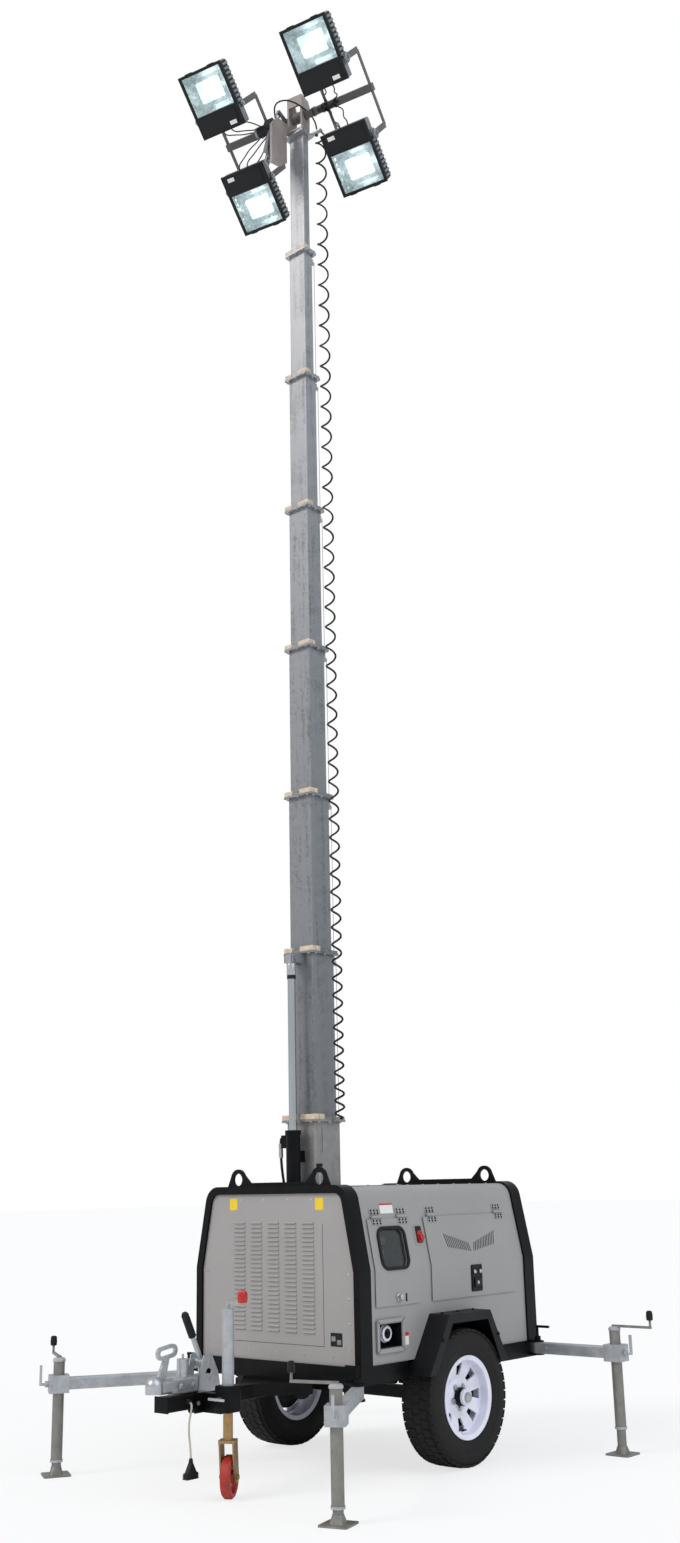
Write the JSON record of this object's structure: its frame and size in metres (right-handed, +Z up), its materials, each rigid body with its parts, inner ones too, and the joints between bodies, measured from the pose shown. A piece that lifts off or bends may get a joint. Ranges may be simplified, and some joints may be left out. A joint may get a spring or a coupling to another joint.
{
  "type": "mobile light tower",
  "caption": "Towed generator trailer with a canopy, swing-out jacks and a tall telescopic mast that carries tilting floodlights on a crossbar.",
  "frame": {"origin": "on the ground under the middle of the machine as it stands on its jacks, mast raised", "axes": "+Z up along the mast, -Y towards the drawbar, +X to the machine's control side"},
  "size_m": [2.786, 2.503, 8.7885],
  "materials": {
    "panel": "satin grey paint",
    "frame": "satin black paint",
    "black_plastic": "matte",
    "galvanised": "dull zinc",
    "mast_steel": "galvanised sheet",
    "zinc": "yellow-passivated zinc",
    "lamp_grey": "cast, matt grey",
    "clear": "clear",
    "dark_glass": "smoked",
    "tyre": "matt rubber",
    "wheel_white": "white enamel",
    "wheel_red": "red",
    "motor": "dark, satin",
    "engine": null,
    "cord": "black",
    "lead": "pale grey",
    "lens": "red lens"
  },
  "bodies": {
    "trailer": {"chassis": "frame", "floor_pan": "frame", "drawbar": "frame", "coupling": "zinc", "handbrake": "zinc", "axle": "frame", "leaf_springs": "frame", "fenders": "black_plastic", "front_arch": "frame", "rear_arch": "frame", "lifting_plates": "frame", "front_panel": "panel", "rear_panel": "panel", "tail_lamps": "lens", "roof": "panel", "side_left": "panel", "side_right": "panel", "power_inlet": "black_plastic", "control_panel": "black_plastic", "engine_block": "engine", "mast_base": "mast_steel", "cylinder_barrel": "frame", "jockey_tube": "galvanised", "curly_cord": "cord", "light_lead": "lead", "lead_plug": "black_plastic"},
    "control_door": {"control_door": "panel", "window_glass": "dark_glass"},
    "engine_door_left": {"engine_door_left": "panel"},
    "engine_door_right": {"engine_door_right": "panel"},
    "mast_1": {"mast_section_1": "mast_steel", "cylinder_rod": "galvanised"},
    "mast_2": {"mast_section_2": "mast_steel"},
    "mast_3": {"mast_section_3": "mast_steel"},
    "mast_4": {"mast_section_4": "mast_steel"},
    "mast_5": {"mast_section_5": "mast_steel"},
    "mast_6": {"mast_section_6": "mast_steel"},
    "mast_7": {"mast_section_7": "mast_steel", "head_bracket": "galvanised", "tilt_barrel": "motor"},
    "tilt_rod": {"tilt_rod": "galvanised"},
    "lamp_head": {"light_bar": "galvanised", "lamp_housings": "lamp_grey", "lamp_glasses": "clear"},
    "arm_front_left": {"arm_front_left": "galvanised"},
    "jack_front_left": {"jack_front_left": "galvanised"},
    "arm_front_right": {"arm_front_right": "galvanised"},
    "jack_front_right": {"jack_front_right": "galvanised"},
    "arm_rear_left": {"arm_rear_left": "galvanised"},
    "jack_rear_left": {"jack_rear_left": "galvanised"},
    "arm_rear_right": {"arm_rear_right": "galvanised"},
    "jack_rear_right": {"jack_rear_right": "galvanised"},
    "jockey_stem": {"jockey_stem": "zinc"},
    "jockey_fork": {"jockey_fork": "zinc"},
    "jockey_wheel": {"jockey_wheel": "wheel_red"},
    "wheel_left": {"tyre_left": "tyre", "rim_left": "wheel_white"},
    "wheel_right": {"tyre_right": "tyre", "rim_right": "wheel_white"}
  },
  "joints": [
    {"name": "wheel_left_spin", "type": "hinge", "parent": "trailer", "child": "wheel_left", "pos_m": [0.613, 0.3885, 0.345], "axis": [1, 0, 0], "continuous": true},
    {"name": "wheel_right_spin", "type": "hinge", "parent": "trailer", "child": "wheel_right", "pos_m": [-0.613, 0.3885, 0.345], "axis": [1, 0, 0], "continuous": true},
    {"name": "control_door_hinge", "type": "hinge", "parent": "trailer", "child": "control_door", "pos_m": [0.5451, -0.0425, 1.276], "axis": [0, -1, 0], "range_deg": [0, 85]},
    {"name": "engine_door_left_hinge", "type": "hinge", "parent": "trailer", "child": "engine_door_left", "pos_m": [0.5451, 0.642, 1.276], "axis": [0, -1, 0], "range_deg": [0, 85]},
    {"name": "engine_door_right_hinge", "type": "hinge", "parent": "trailer", "child": "engine_door_right", "pos_m": [-0.5451, 0.642, 1.276], "axis": [0, 1, 0], "range_deg": [0, 85]},
    {"name": "mast_lift", "type": "slide", "parent": "trailer", "child": "mast_1", "axis": [0, 0, 1], "range_m": [-0.835, 0], "deforming": ["curly_cord"]},
    {"name": "mast_2_slide", "type": "slide", "parent": "mast_1", "child": "mast_2", "axis": [0, 0, 1], "range_m": [-0.835, 0]},
    {"name": "mast_3_slide", "type": "slide", "parent": "mast_2", "child": "mast_3", "axis": [0, 0, 1], "range_m": [-0.835, 0]},
    {"name": "mast_4_slide", "type": "slide", "parent": "mast_3", "child": "mast_4", "axis": [0, 0, 1], "range_m": [-0.835, 0]},
    {"name": "mast_5_slide", "type": "slide", "parent": "mast_4", "child": "mast_5", "axis": [0, 0, 1], "range_m": [-0.835, 0]},
    {"name": "mast_6_slide", "type": "slide", "parent": "mast_5", "child": "mast_6", "axis": [0, 0, 1], "range_m": [-0.835, 0]},
    {"name": "mast_7_slide", "type": "slide", "parent": "mast_6", "child": "mast_7", "axis": [0, 0, 1], "range_m": [-0.835, 0]},
    {"name": "lamp_tilt", "type": "hinge", "parent": "mast_7", "child": "lamp_head", "pos_m": [0, -0.0265, 8.602], "axis": [0.9799, 0.1994, 0], "range_deg": [-49, 35]},
    {"name": "tilt_rod_slide", "type": "slide", "parent": "mast_7", "child": "tilt_rod", "axis": [-0.0573, 0.2818, 0.9577], "range_m": [-0.052, 0.072]},
    {"name": "arm_front_left_swing", "type": "hinge", "parent": "trailer", "child": "arm_front_left", "pos_m": [0.612, -0.4065, 0.45], "axis": [0, 0, 1], "range_deg": [-34, 118]},
    {"name": "jack_front_left_height", "type": "slide", "parent": "arm_front_left", "child": "jack_front_left", "axis": [0, 0, 1], "range_m": [0, 0.28]},
    {"name": "arm_front_right_swing", "type": "hinge", "parent": "trailer", "child": "arm_front_right", "pos_m": [-0.612, -0.4065, 0.45], "axis": [0, 0, 1], "range_deg": [-118, 34]},
    {"name": "jack_front_right_height", "type": "slide", "parent": "arm_front_right", "child": "jack_front_right", "axis": [0, 0, 1], "range_m": [0, 0.28]},
    {"name": "arm_rear_left_swing", "type": "hinge", "parent": "trailer", "child": "arm_rear_left", "pos_m": [0.64, 1.1685, 0.5186], "axis": [0, 0, 1], "range_deg": [-60, 90]},
    {"name": "jack_rear_left_height", "type": "slide", "parent": "arm_rear_left", "child": "jack_rear_left", "axis": [0, 0, 1], "range_m": [0, 0.28]},
    {"name": "arm_rear_right_swing", "type": "hinge", "parent": "trailer", "child": "arm_rear_right", "pos_m": [-0.64, 1.1685, 0.5186], "axis": [0, 0, 1], "range_deg": [-90, 60]},
    {"name": "jack_rear_right_height", "type": "slide", "parent": "arm_rear_right", "child": "jack_rear_right", "axis": [0, 0, 1], "range_m": [0, 0.28]},
    {"name": "jockey_height", "type": "slide", "parent": "trailer", "child": "jockey_stem", "axis": [0, 0, 1], "range_m": [0, 0.1]},
    {"name": "jockey_swivel", "type": "hinge", "parent": "jockey_stem", "child": "jockey_fork", "pos_m": [0.207, -0.9115, 0.26], "axis": [0, 0, 1], "continuous": true},
    {"name": "jockey_wheel_spin", "type": "hinge", "parent": "jockey_fork", "child": "jockey_wheel", "pos_m": [0.194, -0.88898, 0.098], "axis": [0.866, 0.5, 0], "continuous": true}
  ],
  "couplings": [
    {"joint": "mast_2_slide", "follows": "mast_lift", "ratio": 1},
    {"joint": "mast_3_slide", "follows": "mast_lift", "ratio": 1},
    {"joint": "mast_4_slide", "follows": "mast_lift", "ratio": 1},
    {"joint": "mast_5_slide", "follows": "mast_lift", "ratio": 1},
    {"joint": "mast_6_slide", "follows": "mast_lift", "ratio": 1},
    {"joint": "mast_7_slide", "follows": "mast_lift", "ratio": 1},
    {"joint": "tilt_rod_slide", "follows": "lamp_tilt", "m_per_rad": -0.082}
  ]
}
